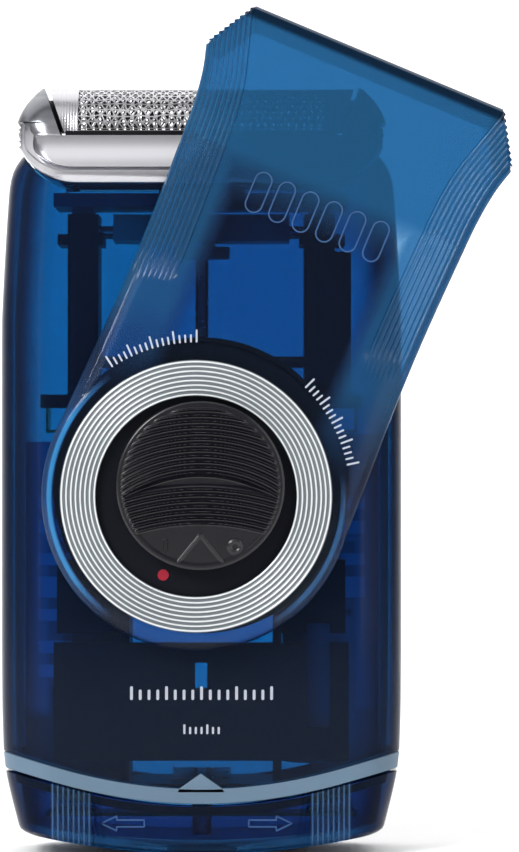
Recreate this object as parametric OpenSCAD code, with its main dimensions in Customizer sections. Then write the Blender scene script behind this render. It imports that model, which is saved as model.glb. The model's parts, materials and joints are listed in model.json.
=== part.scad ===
// Pocket foil shaver with a twist cap. Front faces -Y, +Z is up, millimetres.
// The origin is the middle of the small flat facet under the battery lid.

/* [Housing] */
// Width of the housing
body_w = 60; // [59:0.5:61]
// Depth of the housing, front to back
body_d = 25; // [24.6:0.2:26]
// Wall thickness of the shells
wall = 2; // [1.8:0.1:2.1]
// Radius of the four upright corners
corner_r = 8; // [7:0.5:9]
// Height of the edge that the head sits on
seat_z = 100; // [99.8:0.1:100.2]

/* [Battery lid] */
// Radius of the round parting face between lid and trim band
parting_r = 78; // [76:0.5:80]
// Height of the trim band
band_h = 2.4; // [2:0.1:2.6]
// Radius of the domed underside
dome_r = 113; // [105:1:120]
// Radius of the flat facet that the shaver stands on
foot_r = 9; // [7:0.5:9.5]

/* [Twist cap] */
// Height of the pivot that cap and knob share
pivot_z = 55.1; // [55:0.05:55.2]
// Clockwise turn of the cap away from shut, seen from the front
cap_turn = 22.7; // [0:0.1:170]
// Distance from the pivot to the outer face of the cap's roof
lip_v = 68.5; // [68.3:0.1:70]
// Half the width of the roof's edge
lip_half = 20.1; // [19:0.1:21]
// How far the grip ring sits off the pivot, away from the hood
ring_shift = 1.7; // [1.5:0.05:1.9]
// Outer radius of the grip ring
ring_r = 20.1; // [19.5:0.1:20.5]
// Inner radius of the grip ring
ring_bore_r = 14.75; // [14.5:0.05:15]
// Radius of the cap's round hub
hub_r = 22.9; // [22.5:0.1:23.2]

/* [Knob] */
// Radius of the on/off knob
knob_r = 12.45; // [12.3:0.05:12.6]
// Radius of the knob's spindle
spindle_r = 5; // [4.5:0.1:5.5]

/* [Head] */
// Height of the tips of the head's two ears
ear_z = 115; // [114.9:0.05:115.2]
// Outer radius of the foil's arch
foil_r = 7; // [6.9:0.05:7]
// Number of cutter blades
blades = 30; // [20:1:32]

/* [Cells] */
// Diameter of an AA cell
cell_d = 14.5; // [14:0.1:14.5]
// Length of an AA cell, nub included
cell_l = 50.5; // [49.5:0.1:50.5]
// Distance of each cell's axis from the middle
cell_x = 19.4; // [19.35:0.05:19.4]

/* [Hidden] */
$fn = 96;
fine = 48;
gap = 0.05;
run_gap = 0.3;

// Parting sphere, centred on the lid's twist axis
band_front_z = 7.6;
lid_turn = 20;
parting_z = band_front_z + sqrt(parting_r * parting_r - body_d * body_d / 4);
band_top_r = parting_r - band_h;
dome_z = sqrt(dome_r * dome_r - foot_r * foot_r);

// Right half of the housing's front outline, from the bottom up
flank = [
    [26.2, 0], [27.5, 4.4], [29.3, 11.9], [29.75, 16.5], [30, 30], [30, 78],
    [29.8, 84], [28.85, 99.4], [28.4, 101.6], [27.8, 102.9], [26.9, 104.2]
];
flank_scale = body_w / 60;
horn_z = 104.2;

// Seat of the head: flat in the middle with a round corner at each end
seat_half = 18.5;
seat_r = 9.5;

// Depths of the front stack, from the shell's face forward
face_y = -body_d / 2;
cap_back_y = face_y - 0.4;
cap_face_y = -17;
cap_skin = 2;
floor_y = -16.2;
boss_y = -16.5;
knob_back_y = -16.8;
knob_face_y = -19;
ridge_h = 0.5;
boss_r = 11.2;
hub_bore_r = 11.3;
seal_w = 1.3;
seal_y0 = -15.2;
seal_y1 = -13.8;
dot_r = 0.85;
dot_z = -14.3;
plate_r = 22;
plate_t = 1;

// Hood of the twist cap
lip_t = 2.1;
sweep_r = 65.2;
hood_back_y = 12.3;
roof_t = 1.5;
grip_edge = [
    [22.1, 28], [22.1, 33], [22.5, 46], [22.8, 52], [23.5, 57], [24.6, 61], [26.2, 67]
];
cap_grooves = 8;
groove_pitch = 0.76;
groove_half = 0.15;
groove_depth = 0.3;
cap_side = [
    [22.5, 10], [22.1, 22], [22.1, 33], [22.5, 46], [22.8, 52], [23.5, 57],
    [24.6, 60.9], [23.9, 63.4]
];

// Grip grooves on the front of the battery lid
lid_grooves = 9;
lid_grip_x = 16;
lid_groove_pitch = 0.8;
lid_groove_half = 0.17;

// Mechanism levels, from the cells up to the foil
plate_top = 5.75;
cell_z = 12.2;
nub_h = 1.2;
nub_r = 2.75;
partition_x = 10.7;
partition_t = 1.3;
shelf_z = 66.6;
column_x = 15.4;
column_w = 4.6;
column_top = 95.6;
panel_y = -9.6;
panel_t = 1.6;
motor_z = 47.6;
motor_l = 25;
motor_r = 10;
motor_flat = 15;
endcap_l = 2.2;
top_plate_z = motor_z + motor_l + 0.1;
top_plate_t = 1.6;
throw = 1;
pin_r = 1;
disc_z = 89.1;
disc_t = 1.8;
bridge_z = 91.6;
bridge_h = 4;
slot_h = 2.8;
rod_z = 93.1;
rod_y = 4.4;
rod_r = 0.8;
deck_z = 96.6;
deck_t = 2;
post_r = 1.5;
post_top = 104.6;
collar_z = 100;
spring_z = 100.9;
carrier_z = 103.4;
arch_z = ear_z - 0.3 - foil_r;
foil_t = 0.2;
foil_z = 103.4;
blade_r = foil_r - foil_t - 0.2;
cassette_z = 101.8;
cassette_top = 108;
pad_r = 5.4;
pad_w = 1.1;
cassette_half = 20.3;
cassette_y = 8.2;
head_in_y = 8.4;
head_y = 12;
rim_z = 107.3;
ear_r = 9;
ear_in_x = 21;
ear_lean = [[ear_in_x, rim_z], [23.9, 115.4], [24.4, 117]];

// ---- helpers ----

// Extrudes a drawing of X and Z from depth y0 to depth y1
module along_y(y0, y1) {
    translate([0, y1, 0]) rotate([90, 0, 0]) linear_extrude(height = y1 - y0) children();
}

// Extrudes a drawing of Y and Z from x0 to x1
module along_x(x0, x1) {
    translate([x0, 0, 0]) rotate([90, 0, 90]) linear_extrude(height = x1 - x0) children();
}

// Box between two corners
module box(a, b) {
    translate(a) cube([b[0] - a[0], b[1] - a[1], b[2] - a[2]]);
}

// Tube along Z
module tube(outer, inner, z0, z1) {
    translate([0, 0, z0]) difference() {
        cylinder(r = outer, h = z1 - z0);
        translate([0, 0, -1]) cylinder(r = inner, h = z1 - z0 + 2);
    }
}

// Both sides of the middle plane
module both_sides() {
    children();
    mirror([1, 0, 0]) children();
}

function mirrored(points) = concat(
    points, [for (i = [len(points) - 1 : -1 : 0]) [-points[i][0], points[i][1]]]
);

function arc(cx, cy, r, a0, a1, steps) = [
    for (i = [0 : steps]) [cx + r * cos(a0 + (a1 - a0) * i / steps),
                           cy + r * sin(a0 + (a1 - a0) * i / steps)]
];

module rounded_rect(w, d, r) {
    square([w - 2 * r, d], center = true);
    square([w, d - 2 * r], center = true);
    for (sx = [-1, 1], sy = [-1, 1])
        translate([sx * (w / 2 - r), sy * (d / 2 - r)]) circle(r = r);
}

// Solid of the housing's outside, drawn in by inset
module housing_blank(inset) {
    intersection() {
        linear_extrude(height = horn_z)
            rounded_rect(body_w - 2 * inset, body_d - 2 * inset, corner_r - inset);
        along_y(-body_d, body_d)
            polygon(mirrored([for (p = flank) [p[0] * flank_scale - inset, p[1]]]));
    }
}

// Ball that the housing, the band and the lid are parted by
module parting_ball(r) {
    translate([0, 0, parting_z]) sphere(r = r, $fn = 180);
}

// Space above the seat, which the head fills
module head_space(clear) {
    along_y(-body_d, body_d) {
        translate([-seat_half, seat_z - clear]) square([2 * seat_half, 20]);
        for (side = [-1, 1])
            translate([side * seat_half, seat_z + seat_r]) circle(r = seat_r + clear);
    }
}

// Pointer on the front of the trim band
module pointer(clear) {
    along_y(face_y - 1, face_y + 1.2 + clear)
        polygon([[-3.5 - clear, 9.6], [0, 12.3 + clear], [3.5 + clear, 9.6]]);
}

// ---- housing ----

module shell_half(front) {
    side = front ? -1 : 1;
    difference() {
        intersection() {
            housing_blank(0);
            parting_ball(band_top_r - gap);
            translate([-body_w, front ? -body_d : 0, 0]) cube([2 * body_w, body_d, 200]);
        }
        translate([0, 0, -1]) housing_blank(wall);
        translate([0, 0, 1]) housing_blank(wall);
        head_space(gap);
    }
}

module front_shell() {
    color("#1b4f9c") {
        difference() {
            union() {
                shell_half(true);
                along_y(boss_y, face_y + wall)
                    translate([0, pivot_z]) circle(r = boss_r);
            }
            along_y(boss_y - 1, face_y + wall + 1)
                translate([0, pivot_z]) circle(r = spindle_r + gap);
            along_y(seal_y0, seal_y1)
                translate([0, pivot_z]) circle(r = spindle_r + seal_w);
            pointer(gap);
            along_y(face_y - 1, face_y + plate_t) translate([0, pivot_z]) difference() {
                circle(r = plate_r);
                circle(r = boss_r);
            }
        }
    }
}

// Black disc round the boss, let into the face of the front shell
module pivot_plate() {
    color("#0b0c0e") translate([0, 0, pivot_z]) along_y(face_y + gap, face_y + plate_t)
        difference() {
            circle(r = plate_r - gap);
            circle(r = boss_r + gap);
        }
}

module rear_shell() {
    color("#1b4f9c") shell_half(false);
}

// Band and its lip, which plugs into the shells
module trim_band() {
    color("#8d9aa6") {
        difference() {
            intersection() {
                housing_blank(0);
                parting_ball(parting_r - run_gap / 2);
            }
            parting_ball(band_top_r);
            translate([0, 0, -1]) housing_blank(wall + 0.8);
            translate([0, 0, 1]) housing_blank(wall + 0.8);
        }
        difference() {
            intersection() {
                housing_blank(wall + 0.1);
                parting_ball(parting_r - run_gap);
            }
            parting_ball(band_top_r - 2);
            translate([0, 0, -1]) housing_blank(wall + 0.8);
            translate([0, 0, 1]) housing_blank(wall + 0.8);
        }
        intersection() {
            housing_blank(0);
            pointer(0);
            parting_ball(parting_r - run_gap);
        }
    }
}

// ---- chassis ----

module chassis() {
    floor_z = 8.6;
    floor_top = 10.6;
    rib_z = 91;
    rib_top = 92.6;
    panel_z = 14;
    panel_top = 31.6;
    side_z = 33;
    side_top = 44;
    lug_x = 4.8;
    lug_y = 1.3;
    window_x = 15.7;
    window_z = 19;
    slit_x = 0.9;
    slit_z = 24.8;
    color("#20242c") difference() {
        union() {
            box([-partition_x, -9.6, floor_z], [partition_x, 9.6, floor_top]);
            both_sides() {
                box([partition_x, -9.6, floor_z],
                    [partition_x + partition_t, 9.6, shelf_z + 2]);
                box([partition_x, -8.8, shelf_z], [24, 8.8, shelf_z + 2]);
                box([column_x, -7, shelf_z], [column_x + column_w, 7, column_top]);
                box([column_x - 0.7, -7, rib_z], [21.5, 7, rib_top]);
            }
            box([-22, panel_y, panel_z], [22, panel_y + panel_t, panel_top]);
            box([-partition_x, -7.5, motor_z - 2.2], [partition_x, 9.6, motor_z - 0.2]);
            box([-column_x, -7, top_plate_z], [column_x, 7, top_plate_z + top_plate_t]);
            both_sides()
                box([partition_x, panel_y, side_z], [21.5, panel_y + panel_t, side_top]);
            box([column_x, -7, shelf_z], [22.4, 7, 90]);
        }
        // Bayonet keyhole, lined up with the lugs when the lid is fully turned
        tube(2, 0.01, floor_z - 1, floor_top + 1);
        rotate([0, 0, lid_turn])
            box([-lug_x, -lug_y, floor_z - 1], [lug_x, lug_y, floor_top + 1]);
        // Nose of the motor and rod holes
        translate([0, 0, top_plate_z - 1]) cylinder(r = 3.2, h = top_plate_t + 2, $fn = fine);
        for (s = [-1, 1])
            translate([0, s * rod_y, rod_z]) rotate([0, 90, 0])
                cylinder(r = rod_r + 0.02, h = 37, center = true, $fn = fine);
        // Windows in the floor panel
        box([window_x, panel_y - 1, window_z],
            [window_x + 3.5, panel_y + panel_t + 0.5, side_z + 1.5]);
        box([-slit_x, panel_y - 1, slit_z], [slit_x, panel_y + panel_t + 0.5, slit_z + 3.8]);
    }
}

module guide_rods() {
    color("silver") for (s = [-1, 1])
        translate([0, s * rod_y, rod_z]) rotate([0, 90, 0])
            cylinder(r = rod_r, h = 36.6, center = true, $fn = fine);
}

module head_deck() {
    color("#2c3038") difference() {
        union() {
            box([-22, -9.8, deck_z], [22, 9.8, deck_z + deck_t]);
            both_sides() box([16.2, -6, column_top], [19.4, 6, deck_z]);
        }
        box([-3.2, -2.2, deck_z - 1], [3.2, 2.2, deck_z + deck_t + 1]);
    }
}

module shaft_seal() {
    color("#101010") translate([0, 0, deck_z + deck_t]) difference() {
        linear_extrude(height = 1.2) rounded_rect(13, 8, 3.5);
        translate([0, 0, -1]) linear_extrude(height = 4) rounded_rect(6, 4, 1.9);
    }
}

// ---- cells ----

module cell(up) {
    translate([0, 0, up ? cell_z : cell_z + cell_l]) mirror([0, 0, up ? 0 : 1]) {
        cylinder(r = cell_d / 2, h = cell_l - nub_h);
        translate([0, 0, cell_l - nub_h]) cylinder(r = nub_r, h = nub_h);
    }
}

module battery_left() {
    color("#2f6fb5") translate([-cell_x, 0, 0]) cell(true);
}

module battery_right() {
    color("#2f6fb5") translate([cell_x, 0, 0]) cell(false);
}

module top_contacts() {
    color("gold") both_sides() {
        box([cell_x - 4, -4, cell_z + cell_l + 0.2], [cell_x + 4, 4, cell_z + cell_l + 0.6]);
        box([cell_x + 3.6, -4, cell_z + cell_l + 0.6], [cell_x + 4, 4, shelf_z - 0.05]);
    }
}

// ---- battery lid ----

module battery_lid() {
    color("#1b4f9c") difference() {
        intersection() {
            housing_blank(0);
            translate([0, 0, dome_z]) sphere(r = dome_r, $fn = 180);
            box([-50, -50, 0], [50, 50, 30]);
        }
        parting_ball(parting_r + run_gap / 2);
        difference() {
            translate([0, 0, 1]) housing_blank(wall + 1.6);
            box([-50, -50, -5], [50, 50, 2.6]);
            both_sides() box([12, -20, 0], [14, 20, 5.2]);
            cylinder(r = 4.5, h = 5);
        }
        translate([0, 0, 2.15]) cylinder(r = 1.55, h = 20, $fn = fine);
        gasket_ring(gap);
        // Grip grooves on the front
        for (i = [0 : lid_grooves - 1])
            both_sides() translate([lid_grip_x + i * lid_groove_pitch, 0, 0])
                box([-lid_groove_half, face_y - 1, 2.6], [lid_groove_half, face_y + 0.25, 9.6]);
    }
}

// Ring under the parting face, drawn out by clear
module gasket_ring(clear) {
    difference() {
        intersection() {
            housing_blank(wall - 0.55 - clear);
            parting_ball(parting_r + 1.25 + clear);
        }
        housing_blank(wall + 0.75 + clear);
    }
}

module lid_gasket() {
    color("#15171a") difference() {
        gasket_ring(0);
        parting_ball(parting_r + run_gap / 2);
    }
}

module bayonet_post() {
    color("#c8ccd0") {
        translate([0, 0, 2.2]) cylinder(r = 1.5, h = 10.2, $fn = fine);
        box([-4.4, -1, 10.9], [4.4, 1, 12.4]);
    }
}

module contact_plate() {
    color("gold") difference() {
        box([-23.4, -3.8, plate_top - 0.5], [23.4, 3.8, plate_top]);
        translate([0, 0, 5]) cylinder(r = 2, h = 2, $fn = fine);
    }
}

// Conical springs that press on the cells
module contact_springs() {
    wire = 0.35;
    rise = 1.3;
    taper = 0.45;
    color("silver") both_sides() translate([cell_x, 0, plate_top]) {
        for (i = [0 : 4]) rotate_extrude($fn = fine)
            translate([3.4 - taper * i, wire + rise * i]) circle(r = wire, $fn = 16);
        for (i = [0 : 3])
            translate([3.15 - taper * i, 0, wire + rise * i]) cylinder(r = 0.3, h = rise, $fn = 16);
    }
}

// ---- motor and drive ----

module motor_can() {
    color("silver") translate([0, 0, motor_z + endcap_l]) {
        intersection() {
            cylinder(r = motor_r, h = motor_l - endcap_l);
            box([-motor_r, -motor_flat / 2, 0], [motor_r, motor_flat / 2, motor_l]);
        }
    }
}

module motor_endcap() {
    color("#1b1d20") {
        intersection() {
            translate([0, 0, motor_z]) cylinder(r = motor_r - 0.4, h = endcap_l);
            box([-motor_r, -motor_flat / 2 + 0.3, motor_z],
                [motor_r, motor_flat / 2 - 0.3, motor_z + endcap_l]);
        }
    }
}

module motor_bush() {
    color("#b08a3c") tube(3, pin_r + gap, motor_z + motor_l, motor_z + motor_l + 1.6);
}

module rotor_shaft() {
    color("silver") translate([0, 0, motor_z + motor_l + 0.1])
        cylinder(r = pin_r, h = disc_z + disc_t - motor_z - motor_l - 0.1, $fn = fine);
}

module eccentric() {
    color("#e8e4d8") {
        tube(4.2, pin_r + 0.01, disc_z, disc_z + disc_t);
        translate([throw, 0, disc_z + disc_t]) cylinder(r = pin_r, h = 3.2, $fn = fine);
    }
}

module bridge() {
    color("#e8e4d8") difference() {
        box([-13.2, -6.2, bridge_z], [13.2, 6.2, bridge_z + bridge_h]);
        box([-3.3, -2.4, bridge_z - 1], [3.3, 2.4, bridge_z + slot_h]);
        for (s = [-1, 1])
            translate([0, s * rod_y, rod_z]) rotate([0, 90, 0])
                cylinder(r = rod_r + gap, h = 30, center = true, $fn = fine);
        translate([0, 0, bridge_z + slot_h + 0.1])
            cylinder(r = post_r + 0.02, h = bridge_h, $fn = fine);
    }
}

module drive_pin() {
    color("silver") {
        translate([0, 0, bridge_z + slot_h + 0.1])
            cylinder(r = post_r, h = post_top - bridge_z - slot_h - 0.1, $fn = fine);
        translate([0, 0, collar_z]) cylinder(r = 2.6, h = 0.8, $fn = fine);
    }
}

module coil_rings(r, wire, z0, z1, turns) {
    pitch = (z1 - z0 - 2 * wire) / (turns - 1);
    for (i = [0 : turns - 1])
        translate([0, 0, z0 + wire + i * pitch]) rotate_extrude($fn = fine)
            translate([r - wire, 0]) circle(r = wire, $fn = 16);
    translate([r - wire, 0, z0 + wire]) cylinder(r = wire * 0.8, h = pitch * (turns - 1), $fn = 16);
}

module cutter_spring() {
    color("silver") coil_rings(2.5, 0.25, spring_z, carrier_z - 0.1, 4);
}

module cutter_carrier() {
    color("#22252b") difference() {
        box([-17.3, -4.2, carrier_z], [17.3, 4.2, arch_z - 0.3]);
        translate([0, 0, carrier_z - 1]) cylinder(r = post_r + 0.15, h = 4, $fn = fine);
    }
}

module cutter_blades() {
    span = 34;
    pitch = span / (blades - 1);
    half_t = 0.15;
    color("silver") for (i = [0 : blades - 1])
        along_x(i * pitch - span / 2 - half_t, i * pitch - span / 2 + half_t) difference() {
            union() {
                translate([0, arch_z]) circle(r = blade_r);
                translate([-blade_r, arch_z - 3]) square([2 * blade_r, 3]);
            }
            translate([-4.3, arch_z - 10]) square([8.6, 10]);
            translate([-10, arch_z - 13]) square([20, 10]);
            translate([0, arch_z]) circle(r = 4.3);
        }
}

// ---- foil unit ----

// Outline of the space between the ears, in X and Z, drawn in by inset
module ear_window(inset) {
    polygon(mirrored([for (p = concat([[ear_in_x, seat_z - 5]], ear_lean)) [p[0] - inset, p[1]]]));
}

module foil() {
    below = arch_z - foil_r - 1;
    color("#d7dade") intersection() {
        along_x(-30, 30) difference() {
            union() {
                translate([0, arch_z]) circle(r = foil_r);
                translate([-foil_r, foil_z]) square([2 * foil_r, arch_z - foil_z]);
            }
            translate([0, arch_z]) circle(r = foil_r - foil_t);
            translate([-foil_r + foil_t, below]) square([2 * (foil_r - foil_t), arch_z - below]);
            translate([-2 * foil_r, below]) square([4 * foil_r, foil_z - below]);
        }
        along_y(-20, 20) ear_window(0.75);
    }
}

module foil_cassette() {
    color("#15171a") difference() {
        box([-cassette_half, -cassette_y, cassette_z], [cassette_half, cassette_y, cassette_top]);
        box([-18.6, -foil_r - gap, cassette_z - 1], [18.6, foil_r + gap, cassette_top + 1]);
        box([-30, -foil_r - gap, 102.9], [30, foil_r + gap, cassette_top + 1]);
    }
}

module float_springs() {
    color("silver") both_sides() translate([19.5, 0, 0])
        coil_rings(1.1, 0.2, deck_z + deck_t + 0.05, cassette_z - 0.1, 5);
}

// ---- head ----

// Front outline of the head frame, with the grip teeth on its ends
module head_outline() {
    teeth = 5;
    tooth_pitch = 0.78;
    tooth_x = 27;
    corner = arc(seat_half, seat_z + seat_r, seat_r, -90, -34, 14);
    grip = [for (i = [0 : teeth - 1], part = [0, 1])
        [tooth_x - 0.75 * part, 104.5 + tooth_pitch * (i + 0.5 * part)]];
    ear = arc(17.65, 106.65, 10.42, 17, 53, 10);
    polygon(mirrored(concat([[0, seat_z]], corner, grip, ear, [[0, ear_z]])));
}

module head_frame() {
    color("#c9ccd1") difference() {
        intersection() {
            along_y(-head_y, head_y) head_outline();
            along_x(-30, 30) {
                polygon(mirrored([[12, seat_z], [12, 101.8], [11.4, 101.9], [11.4, 102.4],
                                  [11.8, 102.5], [ear_r - 0.1, rim_z], [ear_r - 0.1, rim_z - 1]]));
                translate([0, ear_z - ear_r]) circle(r = ear_r);
            }
        }
        along_y(-head_in_y, head_in_y) ear_window(0);
        along_y(-20, 20) polygon(mirrored(ear_lean));
        both_sides() box([20, -6, seat_z - 1], [25.4, 6, 105]);
    }
}

// Pads inside the ears, which fill the view through the gap at each end of the foil
module head_pads() {
    color("#0b0c0e") intersection() {
        along_x(-30, 30) translate([0, arch_z]) circle(r = pad_r);
        along_y(-pad_r, pad_r) difference() {
            ear_window(gap);
            ear_window(pad_w);
        }
        box([-30, -10, cassette_top + 0.4], [30, 10, ear_z]);
    }
}

// ---- twist cap ----

module in_cap() {
    translate([0, 0, pivot_z]) rotate([0, cap_turn, 0]) children();
}

// Outline of hub and hood, drawn in by inset
module cap_outline(inset) {
    translate([0, -ring_shift]) circle(r = hub_r - inset);
    polygon(mirrored(concat([[hub_r - inset, -ring_shift]],
                            [for (p = cap_side) [p[0] - inset, p[1] - inset * 0.3]],
                            [[lip_half - 0.6 * inset, lip_v - inset]])));
}

// Grip groove that follows the side of the hood, inset from it
module cap_groove(inset) {
    near = [for (p = grip_edge) [p[0] - inset - groove_half, p[1]]];
    far = [for (i = [len(near) - 1 : -1 : 0]) [near[i][0] + 2 * groove_half, near[i][1]]];
    polygon(concat(near, far));
}

module cap_shell() {
    color("#2a63a8") in_cap() difference() {
        union() {
            along_y(cap_face_y, cap_back_y) cap_outline(0);
            along_y(cap_back_y - 0.1, hood_back_y) difference() {
                cap_outline(0);
                circle(r = sweep_r);
                cap_outline(roof_t);
            }
        }
        // Hollow behind the front plate
        difference() {
            along_y(cap_face_y + cap_skin, cap_back_y + 1) cap_outline(lip_t);
            along_y(-20, 0) translate([0, -ring_shift]) circle(r = hub_r);
        }
        // Grip grooves down both sides of the hood
        for (i = [1 : cap_grooves])
            along_y(cap_face_y - 1, cap_face_y + groove_depth) {
                cap_groove(i * groove_pitch);
                mirror([1, 0]) cap_groove(i * groove_pitch);
            }
        // Bore, recess of the dark disc and seat of the grip ring
        along_y(-30, 0) circle(r = hub_bore_r);
        along_y(-30, floor_y + 0.8)
            translate([0, -ring_shift]) circle(r = ring_bore_r);
        along_y(-30, cap_face_y + 1) translate([0, -ring_shift]) difference() {
            circle(r = ring_r + gap);
            circle(r = ring_bore_r - 1);
        }
    }
}

module cap_ring() {
    grooves = 7;
    pitch = (ring_r - ring_bore_r) / grooves;
    half_w = 0.12;
    color("#c5c8cc") in_cap() translate([0, 0, -ring_shift]) difference() {
        along_y(cap_face_y - 0.6, cap_face_y + 1 - gap) difference() {
            circle(r = ring_r);
            circle(r = ring_bore_r + gap);
        }
        for (i = [1 : grooves - 1])
            along_y(cap_face_y - 1, cap_face_y - 0.35) difference() {
                circle(r = ring_bore_r + i * pitch + half_w);
                circle(r = ring_bore_r + i * pitch - half_w);
            }
    }
}

module bezel_disc() {
    color("#14161a") in_cap() along_y(floor_y, floor_y + 0.8 - gap) difference() {
        translate([0, -ring_shift]) circle(r = ring_bore_r - gap);
        circle(r = hub_bore_r);
        translate([0, dot_z]) circle(r = dot_r, $fn = fine);
    }
}

module marker_dot() {
    color("#c0202a") in_cap() along_y(floor_y - 0.15, floor_y + 0.6)
        translate([0, dot_z]) circle(r = dot_r - 0.03, $fn = fine);
}

// ---- knob and switch ----

// Curved finger ridges: count arcs of radius bend, the first one's top at z_top
module ridges(z_top, count, pitch, bend) {
    for (i = [0 : count - 1])
        intersection() {
            translate([0, z_top - i * pitch - bend]) difference() {
                circle(r = bend);
                circle(r = bend - 0.45);
            }
            circle(r = knob_r - 0.6);
            translate([-20, -5]) square([40, 40]);
        }
}

// Open arrowhead below the ridges
module knob_pointer() {
    polygon([[0, -7.1], [3.5, -11.2], [2.9, -11.2], [0, -7.8], [-2.9, -11.2], [-3.5, -11.2]]);
}

module knob() {
    spindle_y = -8.2;
    color("#111214") translate([0, 0, pivot_z]) {
        along_y(knob_face_y, knob_back_y) circle(r = knob_r);
        along_y(knob_back_y - 0.1, spindle_y) circle(r = spindle_r);
        along_y(knob_face_y - ridge_h, knob_face_y + 0.1) {
            ridges(12, 13, 0.85, 31);
            ridges(-0.6, 7, 0.8, 39);
            knob_pointer();
        }
    }
}

module knob_seal() {
    color("#101010") translate([0, 0, pivot_z]) along_y(seal_y0 + gap, seal_y1 - gap)
        difference() {
            circle(r = spindle_r + seal_w - gap);
            circle(r = spindle_r + 0.06);
        }
}

module switch_rotor() {
    color("#dcd8cc") translate([0, 0, pivot_z]) along_y(-10.2, -8.25) difference() {
        circle(r = 7.4);
        circle(r = spindle_r + 0.01);
    }
}

module switch_plate() {
    board_t = 0.6;
    board_y = -8.15;
    color("#2f7d4a") box([-10.4, board_y, 46], [10.4, board_y + board_t, 59.4]);
}

front_shell();
rear_shell();
trim_band();
chassis();
battery_left();
battery_right();
top_contacts();
battery_lid();
lid_gasket();
bayonet_post();
contact_plate();
contact_springs();
motor_can();
motor_endcap();
motor_bush();
rotor_shaft();
eccentric();
bridge();
guide_rods();
drive_pin();
cutter_spring();
cutter_carrier();
cutter_blades();
foil();
foil_cassette();
float_springs();
head_frame();
head_deck();
shaft_seal();
cap_shell();
cap_ring();
bezel_disc();
marker_dot();
knob();
knob_seal();
switch_rotor();
switch_plate();
pivot_plate();
head_pads();
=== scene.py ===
"""A pocket foil shaver with a twist cap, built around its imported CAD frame.

Shapes are drawn in millimetres.
"""
import json
import math
import random

import bmesh
import bpy
import numpy as np
from mathutils import Matrix, Vector
from mathutils.bvhtree import BVHTree


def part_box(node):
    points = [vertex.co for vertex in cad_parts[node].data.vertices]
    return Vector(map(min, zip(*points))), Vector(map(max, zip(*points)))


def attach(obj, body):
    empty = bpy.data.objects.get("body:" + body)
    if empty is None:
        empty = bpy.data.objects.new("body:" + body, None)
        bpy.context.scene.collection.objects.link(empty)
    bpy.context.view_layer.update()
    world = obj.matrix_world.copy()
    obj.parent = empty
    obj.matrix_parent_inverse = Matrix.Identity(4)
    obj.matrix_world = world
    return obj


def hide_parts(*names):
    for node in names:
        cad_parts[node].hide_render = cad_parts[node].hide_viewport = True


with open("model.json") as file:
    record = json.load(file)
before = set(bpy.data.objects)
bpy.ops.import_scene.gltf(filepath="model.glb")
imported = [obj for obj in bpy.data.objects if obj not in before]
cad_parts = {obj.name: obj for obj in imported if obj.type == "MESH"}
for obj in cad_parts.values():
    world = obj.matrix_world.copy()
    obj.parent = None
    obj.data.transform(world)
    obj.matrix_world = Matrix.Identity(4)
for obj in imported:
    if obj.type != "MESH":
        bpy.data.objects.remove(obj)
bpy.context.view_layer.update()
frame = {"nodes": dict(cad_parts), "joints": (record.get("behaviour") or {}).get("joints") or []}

MM = 0.001
TAU = 2 * math.pi


# ---- sizes, in millimetres, from the frame ----


def low(node):
    """Lowest corner of a CAD node."""
    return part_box(node)[0] / MM


def high(node):
    """Highest corner of a CAD node."""
    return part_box(node)[1] / MM


PIVOT_Z = (low("knob").z + high("knob").z) / 2
KNOB_R = (high("knob").x - low("knob").x) / 2
CAP_TURN = math.radians(next(j for j in frame["joints"] if j["name"] == "cap_twist")["range_deg"][1])

HALF_W = high("front_shell").x
HALF_D = high("rear_shell").y
CORNER_R = 8.0
WALL = 2.0
SEAT_Z = low("head_frame").z
SEAT_HALF = 18.5
SEAT_R = 9.5
HORN_Z = high("front_shell").z

SHELL_EDGE = 0.22

PARTING_R = 78.0
BAND_H = 2.4
BAND_FRONT_Z = 7.6
PARTING_Z = BAND_FRONT_Z + math.sqrt(PARTING_R**2 - HALF_D**2)
LID_FLOOR = 2.2
DOME_R = 113.0
FOOT_R = 9.0
DOME_Z = math.sqrt(DOME_R**2 - FOOT_R**2)

EAR_Z = high("head_frame").z
RIM_Z = 107.3
HEAD_Y = high("head_frame").y
EAR_R = 9.0
EAR_X = 21
EAR_EDGE = [(EAR_X, RIM_Z), (23.9, 115.4), (24.8, 118)]
WINDOW_DEPTH = 8.4
BEZEL_Z = 102.4
END_X, END_Z = 19.3, 110.4
FOIL_R = high("foil").y
ARCH_Z = high("foil").z - FOIL_R

RING_SHIFT = 1.7
RING_R = 20.1
RING_BORE_R = 14.75
HUB_R = 22.9
LIP_V = 68.5
LIP_HALF = 20.1
SHOULDER_V = 60.9
SHOULDER_HALF = 24.6
CAP_FACE_Y = -17.0
CAP_BACK_Y = -12.9
ROOF_T = 1.5
SWEEP_R = 65.2
HOOD_BACK_Y = high("cap_shell").y

FLANK = [
    (26.2, 0), (27.5, 4.4), (29.3, 11.9), (29.75, 16.5), (30, 30), (30, 78),
    (29.8, 84), (28.85, 99.4), (28.4, 101.6), (27.8, 102.9), (26.9, 104.2),
]


# ---- small mathematics ----


def lerp(a, b, t):
    return a + (b - a) * t


def smoothstep(edge0, edge1, x):
    t = min(max((x - edge0) / (edge1 - edge0), 0.0), 1.0)
    return t * t * (3 - 2 * t)


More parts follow.
